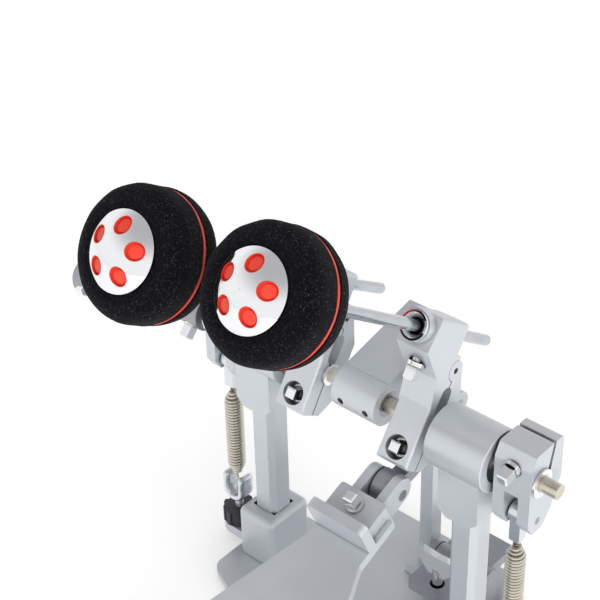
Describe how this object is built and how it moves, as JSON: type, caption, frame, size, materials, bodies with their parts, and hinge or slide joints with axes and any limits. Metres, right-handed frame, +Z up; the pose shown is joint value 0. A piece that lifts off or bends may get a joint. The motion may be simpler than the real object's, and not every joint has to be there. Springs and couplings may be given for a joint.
{
  "type": "double bass drum pedal",
  "caption": "Double bass drum pedal, main side: paired felt beaters on split axles, sloping footboard with drive link, sprung rockers, hoop clamp and universal joint for a remote pedal.",
  "frame": {"origin": "on the floor under the axle line, midway between the two beaters", "axes": "+X along the axles to the player's right, +Y towards the drum, +Z up"},
  "size_m": [0.3312, 0.383, 0.3079],
  "materials": {
    "casting": "satin cast",
    "steel": "satin",
    "chrome": "mirror",
    "axle": "warm nickel, satin",
    "spring": "warm nickel",
    "felt": "pressed felt",
    "red_rubber": "satin",
    "black_plastic": "moulded",
    "dark_metal": "satin",
    "mat": "matte",
    "plate": "satin silver grey"
  },
  "bodies": {
    "base": {"rubber_mat": "mat", "base_plate": "plate", "right_post_socket": "casting", "left_post_socket": "casting", "right_post": "steel", "left_post": "steel", "right_bearing_housing": "casting", "left_bearing_housing": "casting", "axle_bearings": "steel", "centre_bearing_block": "casting", "set_screws": "dark_metal", "centre_post": "steel", "base_bolts": "chrome", "heel_plate": "casting", "heel_hinge_pin": "steel", "hoop_bracket": "dark_metal", "hoop_pin": "steel"},
    "right_swing": {"right_front_jaw": "casting", "right_back_jaw": "casting", "right_shaft_bush": "chrome", "right_pins": "steel", "right_key_bolts": "chrome", "right_rocker": "casting", "main_axle": "axle", "right_axle_washer": "steel"},
    "left_swing": {"left_front_jaw": "casting", "left_back_jaw": "casting", "left_shaft_bush": "chrome", "left_pins": "steel", "left_key_bolts": "chrome", "left_rocker": "casting", "left_axle": "axle", "left_axle_ring": "steel", "inner_yoke": "steel"},
    "right_beater": {"right_beater_shaft": "chrome", "right_beater_core": "red_rubber", "right_beater_felt": "felt", "right_beater_cap": "chrome"},
    "left_beater": {"left_beater_shaft": "chrome", "left_beater_core": "red_rubber", "left_beater_felt": "felt", "left_beater_cap": "chrome"},
    "footboard": {"footboard": "casting", "footboard_nose": "casting", "nose_bolt": "chrome", "fork_pin": "steel"},
    "drive_link": {"drive_link": "dark_metal"},
    "joint_cross": {"joint_cross": "steel"},
    "outer_yoke": {"outer_yoke": "steel", "socket_key_bolt": "chrome"},
    "hoop_jaw": {"hoop_jaw": "dark_metal"},
    "hoop_screw": {"hoop_screw": "chrome"},
    "right_spring": {"right_spring": "spring"},
    "right_hook": {"right_spring_hook": "steel"},
    "right_clevis": {"right_spring_clevis": "casting"},
    "right_knob": {"right_tension_knob": "black_plastic"},
    "left_spring": {"left_spring": "spring"},
    "left_hook": {"left_spring_hook": "steel"},
    "left_clevis": {"left_spring_clevis": "casting"},
    "left_knob": {"left_tension_knob": "black_plastic"}
  },
  "joints": [
    {"name": "primary_swing", "type": "hinge", "parent": "base", "child": "right_swing", "pos_m": [0.034, 0, 0.152], "axis": [-1, 0, 0], "range_deg": [0, 45], "stiffness_Nm_per_rad": 0.35, "springref_deg": -20.05, "deforming": ["right_spring"]},
    {"name": "right_hook_pivot", "type": "hinge", "parent": "right_swing", "child": "right_hook", "pos_m": [0.0955, 0, 0.128], "axis": [1, 0, 0], "range_deg": [0, 55]},
    {"name": "right_spring_lean", "type": "hinge", "parent": "base", "child": "right_spring", "pos_m": [0.0955, 0, 0.0333], "axis": [1, 0, 0], "range_deg": [0, 10]},
    {"name": "right_beater_height", "type": "slide", "parent": "right_swing", "child": "right_beater", "axis": [0, -0.8192, 0.5736], "range_m": [-0.02, 0.02]},
    {"name": "right_knob_turn", "type": "hinge", "parent": "base", "child": "right_knob", "pos_m": [0.0955, 0, 0.0178], "axis": [0, 0, 1], "range_deg": [-540, 540], "deforming": ["right_spring"]},
    {"name": "right_clevis_lift", "type": "slide", "parent": "base", "child": "right_clevis", "axis": [0, 0, 1], "range_m": [-0.00155, 0.00155]},
    {"name": "secondary_swing", "type": "hinge", "parent": "base", "child": "left_swing", "pos_m": [-0.034, 0, 0.152], "axis": [-1, 0, 0], "range_deg": [0, 45], "stiffness_Nm_per_rad": 0.35, "springref_deg": -20.05, "deforming": ["left_spring"]},
    {"name": "left_hook_pivot", "type": "hinge", "parent": "left_swing", "child": "left_hook", "pos_m": [-0.0955, 0, 0.128], "axis": [1, 0, 0], "range_deg": [0, 55]},
    {"name": "left_spring_lean", "type": "hinge", "parent": "base", "child": "left_spring", "pos_m": [-0.0955, 0, 0.0333], "axis": [1, 0, 0], "range_deg": [0, 10]},
    {"name": "left_beater_height", "type": "slide", "parent": "left_swing", "child": "left_beater", "axis": [0, -0.848, 0.5299], "range_m": [-0.02, 0.02]},
    {"name": "left_knob_turn", "type": "hinge", "parent": "base", "child": "left_knob", "pos_m": [-0.0955, 0, 0.0178], "axis": [0, 0, 1], "range_deg": [-540, 540], "deforming": ["left_spring"]},
    {"name": "left_clevis_lift", "type": "slide", "parent": "base", "child": "left_clevis", "axis": [0, 0, 1], "range_m": [-0.00155, 0.00155]},
    {"name": "footboard_hinge", "type": "hinge", "parent": "base", "child": "footboard", "pos_m": [0.034, -0.262, 0.026], "axis": [-1, 0, 0], "range_deg": [0, 7.4]},
    {"name": "link_pivot", "type": "hinge", "parent": "right_swing", "child": "drive_link", "pos_m": [0.034, 0.0205, 0.1545], "axis": [1, 0, 0], "range_deg": [0, 67.5]},
    {"name": "joint_cross_turn", "type": "hinge", "parent": "left_swing", "child": "joint_cross", "pos_m": [-0.14, 0, 0.152], "axis": [0, 0, 1], "range_deg": [-25, 25]},
    {"name": "outer_yoke_tilt", "type": "hinge", "parent": "joint_cross", "child": "outer_yoke", "pos_m": [-0.14, 0, 0.152], "axis": [0, 1, 0], "range_deg": [-9, 41]},
    {"name": "hoop_screw_turn", "type": "hinge", "parent": "base", "child": "hoop_screw", "pos_m": [0.037, 0.016, 0.02], "axis": [0, 0, 1], "range_deg": [0, 1080]},
    {"name": "hoop_jaw_tilt", "type": "hinge", "parent": "base", "child": "hoop_jaw", "pos_m": [0.037, 0.038, 0.028], "axis": [-1, 0, 0], "range_deg": [0, 8.1]}
  ],
  "couplings": [
    {"joint": "right_hook_pivot", "follows": "primary_swing", "ratio": 1.21},
    {"joint": "right_spring_lean", "follows": "primary_swing", "ratio": 0.21},
    {"joint": "right_clevis_lift", "follows": "right_knob_turn", "m_per_rad": 0.000159},
    {"joint": "left_hook_pivot", "follows": "secondary_swing", "ratio": 1.21},
    {"joint": "left_spring_lean", "follows": "secondary_swing", "ratio": 0.21},
    {"joint": "left_clevis_lift", "follows": "left_knob_turn", "m_per_rad": 0.000159},
    {"joint": "footboard_hinge", "follows": "primary_swing", "ratio": 0.1612},
    {"joint": "link_pivot", "follows": "primary_swing", "ratio": 1.491},
    {"joint": "hoop_jaw_tilt", "follows": "hoop_screw_turn", "ratio": 0.0074}
  ]
}
